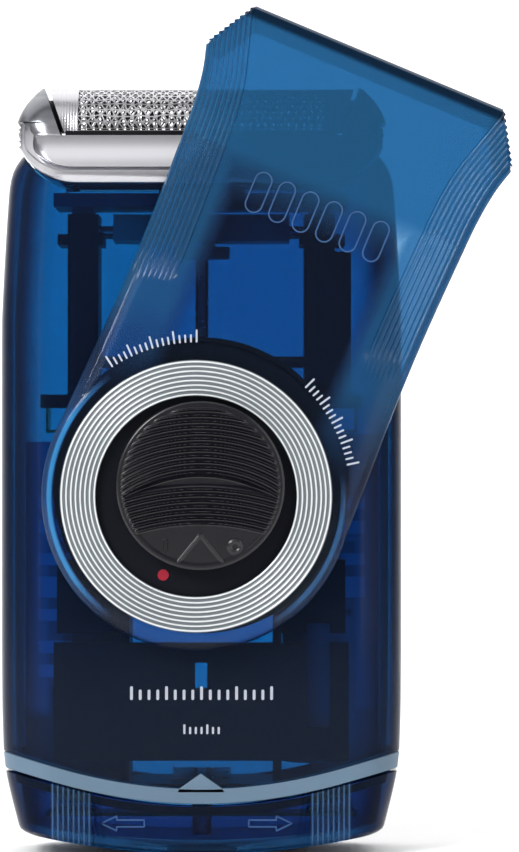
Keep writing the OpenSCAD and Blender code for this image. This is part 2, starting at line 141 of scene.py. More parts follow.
def through(points, x):
    """Smooth curve through (x, y) points: y at x, by Catmull-Rom."""
    if x <= points[0][0]:
        return points[0][1]
    if x >= points[-1][0]:
        return points[-1][1]
    i = max(k for k in range(len(points) - 1) if points[k][0] <= x)
    p = [points[max(0, min(len(points) - 1, i + k))] for k in (-1, 0, 1, 2)]
    span = p[2][0] - p[1][0]
    t = (x - p[1][0]) / span
    m1 = (p[2][1] - p[0][1]) / max(p[2][0] - p[0][0], 1e-6) * span
    m2 = (p[3][1] - p[1][1]) / max(p[3][0] - p[1][0], 1e-6) * span
    t2, t3 = t * t, t * t * t
    return ((2 * t3 - 3 * t2 + 1) * p[1][1] + (t3 - 2 * t2 + t) * m1
            + (3 * t2 - 2 * t3) * p[2][1] + (t3 - t2) * m2)


FLANK_BY_Z = [(z, x) for x, z in FLANK]
FLANK_HALF = 30


def flank(z):
    """Half width of the housing at a height."""
    return min(through(FLANK_BY_Z, z) * HALF_W / FLANK_HALF, HALF_W)


def seat_top(x):
    """Height of the housing's top edge at x."""
    over = max(abs(x) - SEAT_HALF, 0.0)
    rise = SEAT_R - math.sqrt(max(SEAT_R**2 - over**2, 0.0))
    return min(SEAT_Z + rise, HORN_Z)


def ball_z(x, y, r):
    """Height of the parting ball's lower side."""
    return PARTING_Z - math.sqrt(r * r - x * x - y * y)


def section(w, d, r, count, start=0.0, stop=1.0):
    """Evenly spaced points round a rounded rectangle, from one share of its length to another.

    They run anticlockwise from (+w, 0).
    """
    flat_x, flat_y, quarter = 2 * (w - r), 2 * (d - r), math.pi / 2 * r
    total = 2 * flat_x + 2 * flat_y + 4 * quarter
    closed = stop - start > 0.999
    points = []
    for k in range(count):
        s = (start + (stop - start) * k / (count if closed else count - 1)) * total
        s = s % total
        pieces = [
            ("line", flat_y / 2, (w, 0), (w, d - r)),
            ("arc", quarter, (w - r, d - r), 0),
            ("line", flat_x, (w - r, d), (r - w, d)),
            ("arc", quarter, (r - w, d - r), 90),
            ("line", flat_y, (-w, d - r), (-w, r - d)),
            ("arc", quarter, (r - w, r - d), 180),
            ("line", flat_x, (r - w, -d), (w - r, -d)),
            ("arc", quarter, (w - r, r - d), 270),
            ("line", flat_y / 2, (w, r - d), (w, 0)),
        ]
        for kind, length, a, b in pieces:
            if s <= length + 1e-9:
                break
            s -= length
        if kind == "line":
            t = s / length
            points.append((lerp(a[0], b[0], t), lerp(a[1], b[1], t)))
        else:
            turn = math.radians(b) + s / r
            points.append((a[0] + r * math.cos(turn), a[1] + r * math.sin(turn)))
    return points


def arc(cx, cy, r, a0, a1, steps):
    return [
        (cx + r * math.cos(math.radians(lerp(a0, a1, k / steps))),
         cy + r * math.sin(math.radians(lerp(a0, a1, k / steps))))
        for k in range(steps + 1)
    ]


def mirrored(points):
    """Right half of an outline, then its mirror image back."""
    return points + [(-x, y) for x, y in reversed(points) if abs(x) > 1e-6]


# ---- mesh making ----


def mesh_object(name, verts, faces):
    mesh = bpy.data.meshes.new(name)
    mesh.from_pydata([Vector(v) * MM for v in verts], [], faces)
    mesh.update()
    bm = bmesh.new()
    bm.from_mesh(mesh)
    bmesh.ops.remove_doubles(bm, verts=bm.verts, dist=1e-7)
    bmesh.ops.recalc_face_normals(bm, faces=bm.faces)
    bm.to_mesh(mesh)
    bm.free()
    obj = bpy.data.objects.new(name, mesh)
    bpy.context.scene.collection.objects.link(obj)
    return obj


def loft(name, rings, loop=False):
    """Closed rings of points joined into a skin."""
    n = len(rings[0])
    verts = [p for ring in rings for p in ring]
    faces = []
    count = len(rings)
    for k in range(count if loop else count - 1):
        here, there = k * n, (k + 1) % count * n
        for i in range(n):
            j = (i + 1) % n
            faces.append((here + i, here + j, there + j, there + i))
    if not loop:
        faces.append(tuple(range(n)))
        faces.append(tuple(range((count - 1) * n, count * n)))
    return mesh_object(name, verts, faces)


def prism_y(name, outline, y0, y1):
    """Outline of X and Z, extruded along Y."""
    return loft(name, [[(x, y, z) for x, z in outline] for y in (y0, y1)])


def prism_x(name, outline, x0, x1):
    """Outline of Y and Z, extruded along X."""
    return loft(name, [[(x, y, z) for y, z in outline] for x in (x0, x1)])


def lathe_y(name, profile, steps=192, centre=(0, 0)):
    """Closed profile of (radius, y), turned about the Y axis through centre, an (x, z) point."""
    rings = []
    for k in range(steps):
        a = TAU * k / steps
        rings.append([(centre[0] + r * math.cos(a), y, centre[1] + r * math.sin(a)) for r, y in profile])
    return loft(name, rings, loop=True)


def sweep(name, path, radius, sides=8, closed=False):
    """Round tube along a path."""
    points = [Vector(p) for p in path]
    count = len(points)
    rings = []
    up = Vector((0.13, 0.21, 0.97)).normalized()
    for k, p in enumerate(points):
        before = points[k - 1] if closed or k else p
        after = points[(k + 1) % count] if closed or k < count - 1 else p
        along = (after - before).normalized()
        side = along.cross(up)
        if side.length < 0.1:
            side = along.cross(Vector((1, 0, 0)))
        side.normalize()
        up = side.cross(along).normalized()
        r = radius[k] if isinstance(radius, list) else radius
        rings.append([
            p + side * (r * math.cos(TAU * i / sides)) + up * (r * math.sin(TAU * i / sides))
            for i in range(sides)
        ])
    return loft(name, rings, loop=closed)


def evaluated(obj):
    """Applies the modifiers of obj."""
    deps = bpy.context.evaluated_depsgraph_get()
    mesh = bpy.data.meshes.new_from_object(obj.evaluated_get(deps))
    obj.modifiers.clear()
    old = obj.data
    obj.data = mesh
    bpy.data.meshes.remove(old)
    return obj


def boolean(target, cutter, operation="DIFFERENCE", solver="EXACT"):
    mod = target.modifiers.new("cut", "BOOLEAN")
    mod.operation = operation
    mod.solver = solver
    mod.object = cutter
    bpy.context.view_layer.update()
    evaluated(target)
    bpy.data.objects.remove(cutter)
    return target


def bevel(obj, width, segments=3, angle=35):
    mod = obj.modifiers.new("edge", "BEVEL")
    mod.width = width * MM
    mod.segments = segments
    mod.limit_method = "ANGLE"
    mod.angle_limit = math.radians(angle)
    mod.harden_normals = False
    return evaluated(obj)


def thicken(obj, thickness, offset):
    mod = obj.modifiers.new("thick", "SOLIDIFY")
    mod.thickness = thickness * MM
    mod.offset = offset
    return evaluated(obj)


def smooth(obj, angle=32):
    obj.data.shade_smooth()
    obj.data.set_sharp_from_angle(angle=math.radians(angle))
    return obj


def join(name, objs):
    """Joins several objects into the first."""
    bm = bmesh.new()
    for o in objs:
        bm.from_mesh(o.data)
    mesh = bpy.data.meshes.new(name)
    bm.to_mesh(mesh)
    bm.free()
    for o in objs:
        bpy.data.objects.remove(o)
    obj = bpy.data.objects.new(name, mesh)
    bpy.context.scene.collection.objects.link(obj)
    return obj


def finish_piece(obj, body, slot, material, *nodes, angle=32):
    smooth(obj, angle)
    obj.data.materials.clear()
    obj.data.materials.append(material)
    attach(obj, body)
    if nodes:
        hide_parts(*nodes)
    return obj


def to_cap(obj):
    """Turns a piece drawn with the pivot at the origin and the hood upright into its resting place."""
    turn = Matrix.Translation((0, 0, PIVOT_Z * MM)) @ Matrix.Rotation(CAP_TURN, 4, "Y")
    obj.data.transform(turn)
    return obj


# ---- materials ----


class Shader:
    """A material with a short way to add nodes."""

    def __init__(self, name):
        self.material = bpy.data.materials.new(name)
        self.material.use_nodes = True
        self.tree = self.material.node_tree
        self.tree.nodes.clear()
        self.out = self.add("OutputMaterial")
        self.coords = self.add("TexCoord").outputs["Object"]

    def add(self, kind):
        return self.tree.nodes.new("ShaderNode" + kind)

    def link(self, output, socket):
        self.tree.links.new(output, socket)

    def mix(self, share, first, second):
        """Mix of two shaders."""
        n = self.add("MixShader")
        for socket, output in zip(n.inputs, (share, first, second)):
            self.link(output, socket)
        return n.outputs[0]

    def node(self, kind, **inputs):
        n = self.add(kind)
        for key, value in inputs.items():
            self.set(n, key.replace("_", " "), value)
        return n

    def set(self, n, key, value):
        socket = n.inputs[int(key[1:])] if key[0] == "i" and key[1:].isdigit() else n.inputs[key]
        if isinstance(value, bpy.types.NodeSocket):
            self.link(value, socket)
        else:
            socket.default_value = value

    def math(self, operation, a, b=0.0):
        n = self.add("Math")
        n.operation = operation
        self.set(n, "i0", a)
        self.set(n, "i1", b)
        return n.outputs[0]

    def times(self, a, b):
        return self.math("MULTIPLY", a, b)

    def most(self, a, b):
        return self.math("MAXIMUM", a, b)

    def vector(self, operation, value, operand):
        n = self.add("VectorMath")
        n.operation = operation
        self.link(value, n.inputs[0])
        n.inputs[1].default_value = operand
        return n.outputs

    def ramp(self, value, stops):
        n = self.add("ValToRGB")
        self.link(value, n.inputs[0])
        while len(n.color_ramp.elements) < len(stops):
            n.color_ramp.elements.new(0.5)
        for element, (place, colour) in zip(n.color_ramp.elements, stops):
            element.position = place
            element.color = (*colour, 1)
        return n.outputs[0]

    def noise(self, scale, detail=3.0, stretch=None):
        source = self.coords
        if stretch:
            mapping = self.add("Mapping")
            mapping.inputs["Scale"].default_value = stretch
            self.link(source, mapping.inputs["Vector"])
            source = mapping.outputs[0]
        n = self.add("TexNoise")
        self.link(source, n.inputs["Vector"])
        n.inputs["Scale"].default_value = scale
        n.inputs["Detail"].default_value = detail
        return n.outputs[0]

    def bump(self, height, strength, distance):
        n = self.add("Bump")
        n.inputs["Strength"].default_value = strength
        n.inputs["Distance"].default_value = distance
        self.link(height, n.inputs["Height"])
        return n.outputs[0]

    def stretch(self, value, start, stop, a, b):
        """Maps start..stop to a..b, held at both ends."""
        n = self.add("MapRange")
        self.link(value, n.inputs["Value"])
        for key, number in (("From Min", start), ("From Max", stop), ("To Min", a), ("To Max", b)):
            n.inputs[key].default_value = number
        return n.outputs[0]

    def span(self, value, a, b):
        """Maps 0..1 to a..b."""
        return self.stretch(value, 0.0, 1.0, a, b)

    def along(self, a, b, offset=0.0):
        """a * x + b * z + offset, in millimetres."""
        return self.math("ADD", self.vector("DOT_PRODUCT", self.coords, (a / MM, 0, b / MM))["Value"], offset)

    def product(self, a, b):
        """One colour times another."""
        n = self.add("Mix")
        n.data_type, n.blend_type = "RGBA", "MULTIPLY"
        n.inputs[0].default_value = 1.0
        for socket, value in ((n.inputs[6], a), (n.inputs[7], b)):
            if isinstance(value, tuple):
                socket.default_value = value
            else:
                self.link(value, socket)
        return n.outputs[2]

    def radius(self, centre):
        """Distance in X and Z from a centre in millimetres."""
        place = self.vector("SUBTRACT", self.coords, Vector(centre) * MM)["Vector"]
        flat = self.vector("MULTIPLY", place, (1, 0, 1))["Vector"]
        return self.times(self.vector("LENGTH", flat, (0, 0, 0))["Value"], 1 / MM)

    def finish(self, shader):
        self.link(shader, self.out.inputs["Surface"])
        return self.material


def shade(colour, factor):
    return tuple(c * factor for c in colour)


def plain(name, colour, rough, metal=0.0, grain=900.0, spread=0.12, bump=0.05, stretch=None,
          rough_spread=0.08, specular=0.5):
    """Opaque material whose colour, roughness and surface vary with fine noise."""
    s = Shader(name)
    fine = s.noise(grain, 4.0, stretch)
    broad = s.noise(60.0, 2.0)
    tone = s.ramp(broad, [(0.3, shade(colour, 1 - spread)), (0.7, shade(colour, 1 + spread * 0.5))])
    p = s.node("BsdfPrincipled", Base_Color=tone, Metallic=metal)
    s.set(p, "Roughness", s.span(fine, max(rough - rough_spread, 0.02), rough + rough_spread))
    p.inputs["Specular IOR Level"].default_value = specular
    s.set(p, "Normal", s.bump(fine, bump, 0.0001))
    return s.finish(p.outputs[0])


def clear_blue(name, wall, body, density, rough=0.08, side=None, hood=None, gloss_share=0.022, grip=None):
    """Translucent plastic: light is tinted by wall, deeper at a slant, with a cloudy share and a gloss.

    side darkens the plastic beyond that |x|: painted shade for the dark bands along the side walls. hood is
    (wall, body, density) of the twist cap's roofed end, which is cloudier than the plate over the housing; it
    also paints shade in a band under the lip, for the roof seen edge-on, and paints a highlight on the hub's
    edge at left and right.
    grip is the (start, stop, pitch) of |x| where the front's raised ribs get painted highlight: a lighter
    blue, with lighter lines at the rib pitch.
    """
    s = Shader(name)
    facing = s.add("LayerWeight")
    facing.inputs["Blend"].default_value = 0.5
    slant = facing.outputs["Facing"]
    depth = slant
    tint, colour = (*wall, 1), (*body, 1)
    share = s.span(s.noise(45.0, 2.0), density * 0.85, density * 1.15)
    # Painted shade: beyond |x| = side the plastic turns darker, for the dark bands along the side walls.
    if side:
        beyond = s.math("ABSOLUTE", s.along(1, 0))
        depth = s.most(depth, s.stretch(beyond, side, side + 0.9, 0.0, 0.62))
    if hood:
        sine, cosine = math.sin(CAP_TURN), math.cos(CAP_TURN)
        up = s.along(sine, cosine, -PIVOT_Z * cosine)
        across = s.math("ABSOLUTE", s.along(cosine, -sine, PIVOT_Z * sine))
        # Painted shade: in a band just under the lip the plastic turns dark and less cloudy, for the roof
        # seen edge-on.
        depth = s.most(depth, s.stretch(up, LIP_V - 2.0, LIP_V - 1.2, 0.0, 1.0))
        rims = s.times(s.stretch(across, 11.5, 14.5, 0, 0.85), s.stretch(up, 8, 22, 0, 1))
        zone = s.most(s.stretch(up, 40, 48, 0, 1), rims)
        tint = s.ramp(zone, [(0.0, wall), (1.0, hood[0])])
        share = s.math("ADD", share, s.times(
            s.stretch(zone, 0, 1, 0, hood[2]), s.stretch(up, LIP_V - 2.2, LIP_V - 1.4, 1, 0.12)))
        # Painted highlight: a lighter, cloudier band on the hub's edge at left and right.
        radius = s.radius((-RING_SHIFT * sine, 0, PIVOT_Z - RING_SHIFT * cosine))
        left = s.stretch(s.along(1, 0), -19, -13, 1, 0.04)
        right = s.times(s.stretch(s.along(1, 0), 8, 15, 0, 0.55),
                       s.stretch(s.along(0, 1), 50, 58, 1, 0))
        hub_highlight = s.times(s.most(left, right), s.times(
            s.stretch(radius, 21.25, 21.45, 0, 1), s.stretch(radius, 21.95, 22.2, 1, 0.3)))
        share = s.most(share, s.times(hub_highlight, 0.8))
        colour = s.ramp(s.most(zone, hub_highlight), [(0.0, body), (1.0, hood[1])])
    if grip:
        # Painted highlight: lighter, cloudier lines at the rib pitch, on a lighter blue band.
        start, stop, pitch = grip
        sideways = s.math("ABSOLUTE", s.along(1, 0))
        wave = s.math("SINE", s.times(sideways, TAU / pitch))
        lines = s.times(s.stretch(sideways, start, start + 0.2, 0, 1),
                       s.stretch(sideways, stop - 0.2, stop, 1, 0))
        share = s.math("ADD", share, s.times(lines, s.stretch(wave, 0.1, 0.9, 0, 0.3)))
        colour = s.ramp(lines, [(0.0, body), (1.0, (0.10, 0.22, 0.42))])
    dark = s.ramp(depth, [(0.0, (1, 1, 1)), (0.12, (0.9, 0.9, 0.9)), (0.4, (0.42, 0.46, 0.52)),
                          (0.9, (0.03, 0.05, 0.13))])
    see = s.node("BsdfTransparent", Color=s.product(tint, dark))
    solid = s.node("BsdfPrincipled", Base_Color=colour, Roughness=0.45)
    solid.inputs["Specular IOR Level"].default_value = 0.0
    cloud = s.mix(s.math("ADD", share, s.times(slant, 0.12)), see.outputs[0], solid.outputs[0])
    gloss = s.node("BsdfAnisotropic", Color=(1, 1, 1, 1))
    s.set(gloss, "Roughness", s.span(s.noise(500.0, 3.0), rough * 0.7, rough * 1.3))
    shine = s.math("ADD", s.times(s.math("POWER", slant, 5.0), 0.5), gloss_share)
    return s.finish(s.mix(shine, cloud, gloss.outputs[0]))


def ring_material(name):
    """Satin metal whose colour is bright over the ring's raised lines and dark on the lands between: a
    painted highlight on the lines.
    """
    s = Shader(name)
    size = s.radius((-RING_SHIFT * math.sin(CAP_TURN), 0, PIVOT_Z - RING_SHIFT * math.cos(CAP_TURN)))
    turns = s.math("DIVIDE", s.math("SUBTRACT", size, RING_BORE_R + 0.25), RING_PITCH)
    off = s.math("ABSOLUTE", s.math("SUBTRACT", s.math("FRACT", s.math("ADD", turns, 0.5)), 0.5))
    fine = s.noise(1800.0, 3.0)
    # Painted highlight: bright colour on each raised line, dark on the lands between.
    tone = s.ramp(off, [(0.0, (0.80, 0.82, 0.83)), (0.12, (0.66, 0.69, 0.71)), (0.26, (0.13, 0.15, 0.165)),
                        (1.0, (0.20, 0.23, 0.245))])
    p = s.node("BsdfPrincipled", Base_Color=tone, Metallic=0.35)
    s.set(p, "Roughness", s.span(fine, 0.26, 0.40))
    s.set(p, "Normal", s.bump(fine, 0.05, 0.0001))
    return s.finish(p.outputs[0])


def frame_material(name):
    """Satin metal finish of the head's frame, with painted shade: its colour darkens up on the two ears."""
    s = Shader(name)
    fine = s.noise(1500.0, 4.0)
    # Painted shade: the colour darkens from the bezel up over the ears.
    ear_shade = s.stretch(s.along(0, 1), 105.0, 110.0, 0, 1)
    tone = s.ramp(ear_shade, [(0.0, (0.56, 0.56, 0.59)), (1.0, (0.13, 0.135, 0.15))])
    p = s.node("BsdfPrincipled", Base_Color=tone, Metallic=0.96)
    s.set(p, "Roughness", s.span(fine, 0.26, 0.34))
    s.set(p, "Normal", s.bump(fine, 0.01, 0.0001))
    return s.finish(p.outputs[0])


RING_LINES = 7
RING_PITCH = (RING_R - RING_BORE_R - 0.5) / RING_LINES

HOUSING = dict(wall=(0.17, 0.51, 0.69), body=(0.04, 0.07, 0.17), density=0.06, side=28.2)
HOUSING_BLUE = clear_blue("housing_blue", gloss_share=0.006, **HOUSING)
HOUSING_BACK = clear_blue("housing_back_blue", gloss_share=0.016, **HOUSING)
CAP_BLUE = clear_blue("cap_blue", (0.60, 0.80, 0.92), (0.04, 0.07, 0.20), 0.02, 0.10,
                      hood=((0.10, 0.27, 0.45), (0.03, 0.19, 0.42), 0.27), gloss_share=0.014)
LID_BLUE = clear_blue("lid_blue", (0.13, 0.36, 0.58), (0.01, 0.03, 0.12), 0.05, side=28.0, gloss_share=0.006,
                      grip=(16.2, 22.4, 0.78))
BAND_GREY = plain("band_grey", (0.10, 0.165, 0.235), 0.5, 0.0, 700, 0.06, 0.03)
FRAME_SILVER = frame_material("frame_silver")
RING_SILVER = ring_material("ring_silver")
FOIL_STEEL = plain("foil_steel", (0.42, 0.42, 0.44), 0.30, 0.9, 1500, 0.04, 0.03, stretch=(4, 1, 1))
STEEL = plain("bright_steel", (0.60, 0.61, 0.63), 0.25, 1.0, 900, 0.08, 0.05)
DARK_STEEL = plain("blade_steel", (0.012, 0.012, 0.014), 0.5, 0.3, 900, 0.2, 0.05)
KNOB_BLACK = plain("knob_black", (0.004, 0.004, 0.007), 0.24, 0.0, 1400, 0.2, 0.02, rough_spread=0.04)
BEZEL_GREY = plain("bezel_grey", (0.005, 0.006, 0.010), 0.5, 0.0, 2200, 0.2, 0.2, specular=0.08)
BLACK_PLASTIC = plain("black_plastic", (0.004, 0.004, 0.006), 0.45, 0.0, 900, 0.2, 0.10, specular=0.15)
DARK_PLASTIC = plain("dark_plastic", (0.006, 0.008, 0.016), 0.45, 0.0, 500, 0.25, 0.10, specular=0.2)
WHITE_PLASTIC = plain("white_plastic", (0.60, 0.60, 0.62), 0.40, 0.0, 500, 0.06, 0.08)
RUBBER = plain("rubber", (0.012, 0.012, 0.012), 0.75, 0.0, 1200, 0.2, 0.2)
BRASS = plain("brass", (0.65, 0.48, 0.18), 0.3, 1.0, 800, 0.1, 0.05)
MOTOR_METAL = plain("motor_metal", (0.50, 0.51, 0.53), 0.32, 1.0, 700, 0.1, 0.05, stretch=(1, 1, 6))
BOARD = plain("board_green", (0.03, 0.16, 0.07), 0.4, 0.0, 400, 0.15, 0.1)
RED = plain("marker_red", (0.30, 0.008, 0.025), 0.35, 0.0, 900, 0.12, 0.05, specular=0.3)
WHITE_PRINT = plain("white_print", (0.40, 0.43, 0.50), 0.45, 0.0, 900, 0.05, 0.05)
PALE_BLUE = plain("pale_blue", (0.025, 0.08, 0.20), 0.35, 0.0, 900, 0.08, 0.05)
DECK_BLUE = plain("deck_blue", (0.04, 0.08, 0.18), 0.45, 0.0, 500, 0.2, 0.08)


def cell_material(name, side, z0, z1, foot):
    """Printed sleeve of a cell: dark, with a column of pale blocks of uneven length on its outer front, a
    painted highlight as a lighter strip along its outer side, and lighter below z 35 by the share foot.
    """
    s = Shader(name)
    x, z = s.along(side, 0), s.along(0, 1)
    waves = s.math("ADD", s.math("SINE", s.times(z, TAU / 4.3)),
                   s.times(s.math("SINE", s.times(z, TAU / 2.7)), 0.7))
    blocks = s.stretch(waves, -0.15, 0.05, 0.25, 1.0)
    for value, edge, way in ((x, 19.4, 1), (x, 24.6, -1), (z, z0, 1), (z, z1, -1)):
        blocks = s.times(blocks, s.stretch(value, edge - way * 0.2, edge + way * 0.2, 0.0, 1.0))
    # Painted highlight: a lighter strip along the cell's outer side, from z 20 up.
    outer = s.times(s.stretch(x, 22.2, 23.4, 0, 0.62), s.stretch(z, 20, 22, 0, 1))
    tone = s.ramp(s.most(s.most(blocks, outer), s.stretch(z, 35, 36, foot, 0)),
                  [(0.0, (0.035, 0.055, 0.13)), (0.35, (0.17, 0.24, 0.45)), (1.0, (0.16, 0.50, 0.95))])
    speck = s.noise(700.0, 3.0)
    p = s.node("BsdfPrincipled", Base_Color=tone)
    s.set(p, "Roughness", s.span(speck, 0.30, 0.42))
    s.set(p, "Normal", s.bump(speck, 0.05, 0.0001))
    return s.finish(p.outputs[0])


SLEEVE_LEFT = cell_material("cell_sleeve_left", -1, 24.7, 54.0, 0.0)
SLEEVE_RIGHT = cell_material("cell_sleeve_right", 1, 36.6, 56.0, 0.35)


def floor_material():
    """White on the side that faces the shaver and open on the other, so the backdrop hides nothing."""
    s = Shader("studio_white")
    speck = s.noise(30.0, 3.0)
    tone = s.ramp(speck, [(0.3, (0.91, 0.91, 0.91)), (0.7, (0.94, 0.94, 0.94))])
    p = s.node("BsdfPrincipled", Base_Color=tone, Roughness=s.span(speck, 0.75, 0.9))
    far_side = s.add("NewGeometry").outputs["Backfacing"]
    return s.finish(s.mix(far_side, p.outputs[0], s.add("BsdfTransparent").outputs[0]))


NODE_MATERIALS = {
    "chassis": DARK_PLASTIC, "top_contacts": BRASS, "lid_gasket": RUBBER,
    "bayonet_post": STEEL, "contact_plate": BRASS, "contact_springs": STEEL, "motor_endcap": BLACK_PLASTIC,
    "motor_bush": BRASS, "rotor_shaft": STEEL, "eccentric": WHITE_PLASTIC, "bridge": WHITE_PLASTIC,
    "guide_rods": STEEL, "drive_pin": STEEL, "cutter_spring": STEEL, "cutter_carrier": BLACK_PLASTIC,
    "cutter_blades": DARK_STEEL, "foil_cassette": BLACK_PLASTIC, "float_springs": STEEL,
    "head_deck": DECK_BLUE, "shaft_seal": RUBBER, "bezel_disc": BEZEL_GREY, "marker_dot": RED,
    "knob_seal": RUBBER, "switch_rotor": WHITE_PLASTIC, "switch_plate": BOARD, "motor_can": MOTOR_METAL,
    # head_pads are black as painted shade: they fill the gap between the foil's ends and the ears, where a
    # silver part would sit in shadow.
    "pivot_plate": BLACK_PLASTIC, "head_pads": BLACK_PLASTIC,
    "battery_left": SLEEVE_LEFT, "battery_right": SLEEVE_RIGHT,
}


def paint_cad_nodes():
    for name, obj in frame["nodes"].items():
        material = NODE_MATERIALS.get(name)
        if material is None:
            continue
        obj.data.materials.clear()
        obj.data.materials.append(material)


# ---- housing ----


def shell_half(name, front):
    """Half of the housing: an outer and an inner skin from the trim band up to the seat of the head."""
    across, up = 150, 40
    start, stop = (0.5, 1.0) if front else (0.0, 0.5)
    outer = section(HALF_W, HALF_D, CORNER_R, across, start, stop)
    inner = section(HALF_W - WALL, HALF_D - WALL, CORNER_R - WALL, across, start, stop)
    rings = []
    for k in range(up + 1):
        s = 0.5 - 0.5 * math.cos(math.pi * k / up)
        ring = []
        for points, inset in ((outer, 0.0), (inner[::-1], WALL)):
            for x, y in points:
                bottom = ball_z(x * 0.99, y, PARTING_R - BAND_H - 0.05)
                px = x
                for _ in range(4):
                    z = lerp(bottom, seat_top(px) - 0.05, s)
                    px = math.copysign(min(abs(x) / (HALF_W - inset), 1.0) * (flank(z) - inset), x)
                ring.append((px, y, z))
        rings.append(ring)
    n = len(rings[0])
    verts = [p for ring in rings for p in ring]
    faces = []
    for k in range(up):
        for i in range(n):
            j = (i + 1) % n
            faces.append((k * n + i, k * n + j, (k + 1) * n + j, (k + 1) * n + i))
    for base in (0, up * n):
        for i in range(across - 1):
            faces.append((base + i, base + i + 1, base + n - 2 - i, base + n - 1 - i))
    return mesh_object(name, verts, faces)


def front_shell():
    shell = shell_half("front_shell_skin", True)
    recess_r, recess_depth, notch_depth = 21.95, 1.02, 1.25
    boolean(shell, lathe_disc("recess", recess_r, -HALF_D - 2, -HALF_D + recess_depth, (0, PIVOT_Z)))
    outline = mirrored([(0.14, 12.32), (3.5, 10.05), (3.72, 9.0)])
    boolean(shell, prism_y("notch", outline, -HALF_D - 1, -HALF_D + notch_depth))
    bevel(shell, SHELL_EDGE, 2, 50)
    body_marks(shell)
    return finish_piece(shell, "housing", "blue_housing", HOUSING_BLUE, "front_shell")


def rear_shell():
    shell = shell_half("rear_shell_skin", False)
    bevel(shell, SHELL_EDGE, 2, 50)
    return finish_piece(shell, "housing", "blue_housing", HOUSING_BACK, "rear_shell")


def lathe_disc(name, r, y0, y1, centre=(0, 0), steps=128):
    """Plain round solid along Y."""
    ring = [(centre[0] + r * math.cos(TAU * k / steps), centre[1] + r * math.sin(TAU * k / steps))
            for k in range(steps)]
    return prism_y(name, ring, y0, y1)


def trim_band():
    across, thick, edge, narrow = 240, 2.7, 0.12, 0.98
    rings = []
    for x, y in section(HALF_W, HALF_D, CORNER_R, across):
        inner = x * (HALF_W - thick) / HALF_W, y * (HALF_D - thick) / HALF_D
        z0 = ball_z(x * narrow, y, PARTING_R - 0.15)
        z1 = ball_z(x * narrow, y, PARTING_R - BAND_H)
        x0, x1 = (x * flank(z) / HALF_W for z in (z0, z1))
        in_x, in_y = 1 - edge / HALF_W, 1 - edge / HALF_D
        rings.append([(*inner, z0), (x0 * in_x, y * in_y, z0), (x0, y, z0 + edge),
                      (x1, y, z1 - edge), (x1 * in_x, y * in_y, z1), (*inner, z1)])
    band = loft("trim_band_skin", rings, loop=True)
    top = ball_z(0, HALF_D, PARTING_R - BAND_H)
    outline = mirrored([(0.12, 12.25), (3.35, top - 0.05), (3.6, top - 0.6)])
    pointer = prism_y("pointer", outline, -HALF_D, -HALF_D + 1.2)
    bevel(pointer, 0.1, 2, 50)
    band = join("trim_band_skin", [band, pointer])
    return finish_piece(band, "housing", "silver_band", BAND_GREY, "trim_band")


# ---- battery lid ----


def lid_ribs(x, y, z):
    """How far the upright grip ribs on the lid's front stand out."""
    if y > -HALF_D + 0.6 or not 15.6 < abs(x) < 23.2:
        return 0.0
    wave = 0.5 + 0.5 * math.cos(TAU * (abs(x) - 16.0) / 0.82)
    ends = smoothstep(15.6, 16.0, abs(x)) * (1 - smoothstep(22.8, 23.2, abs(x)))
    return 0.24 * wave**2.5 * ends * smoothstep(1.6, 2.6, z) * (1 - smoothstep(8.9, 9.5, z))


def dome(x, y):
    """Height of the lid's domed underside."""
    return DOME_Z - math.sqrt(DOME_R**2 - x * x - y * y)


def battery_lid():
    across, steps, corner, edge, narrow = 1100, 18, 1.1, 0.15, 0.885
    outline = section(HALF_W, HALF_D, CORNER_R, across)

    def underside(x, y):
        return max(dome(x * narrow, y), 0.0)

    def inner(x, y, share):
        return dome(x * share, y * share) + LID_FLOOR

    rings = [[(x * share * narrow, y * share, underside(x * share, y * share)) for x, y in outline]
             for share in (0.02, 0.2, 0.4, 0.6, 0.8, 0.92, 0.965)]
    for k in range(steps + 1):
        ring = []
        for x, y in outline:
            z0 = underside(x, y) + edge
            z = lerp(z0, ball_z(x * 0.97, y, PARTING_R + edge), k / steps)
            tuck = corner * (1 - math.sqrt(1 - (1 - min((z - z0) / corner, 1.0)) ** 2)) * 0.55
            out = math.copysign(lid_ribs(x, y, z), y) * 0.98
            ring.append((x * (flank(z) - tuck) / HALF_W, y * (HALF_D - tuck) / HALF_D + out, z))
        rings.append(ring)
    top = rings[-1]
    rings.append([(x * (1 - edge / HALF_W), y * (1 - edge / HALF_D), z) for x, y, z in top])
    for depth in (0.0, 0.5, 1.0):
        rings.append([(x * (HALF_W - WALL - depth) / HALF_W, y * (HALF_D - WALL) / HALF_D,
                       lerp(z, inner(x, y, 0.8), depth)) for x, y, z in top])
    for share in (0.5, 0.02):
        rings.append([(x * share * 0.9, y * share * 0.84, inner(x, y, share * 0.8)) for x, y, z in top])
    lid = loft("battery_lid_skin", rings)
    lid_marks()
    return finish_piece(lid, "lid_unit", "blue_housing", LID_BLUE, "battery_lid")


# ---- head ----


def cut_window(obj):
    """Cuts the opening for the cassette through a part of the frame."""
    boolean(obj, prism_y("window", mirrored([(EAR_X, SEAT_Z - 5)] + EAR_EDGE), -WINDOW_DEPTH, WINDOW_DEPTH))


def head_half(z):
    """Half length of the head at height z."""
    if z < 109.2:
        centre, low_z, r = END_X, min(z - END_Z, 0.0), 7.95
    else:
        centre, low_z, r = 17.65, z - 106.65, 10.4
    return centre + math.sqrt(max(r**2 - low_z**2, 0.0))


def head_depth(z):
    """Half depth of the head at height z: a leaning face under a round arch."""
    if z < RIM_Z:
        t = (z - BEZEL_Z) / (RIM_Z - BEZEL_Z)
        return lerp(11.8, EAR_R - 0.05, t) + 0.35 * math.sin(math.pi * t)
    return math.sqrt(max((EAR_R - 0.05) ** 2 - (z - EAR_Z + EAR_R) ** 2, 0.0))


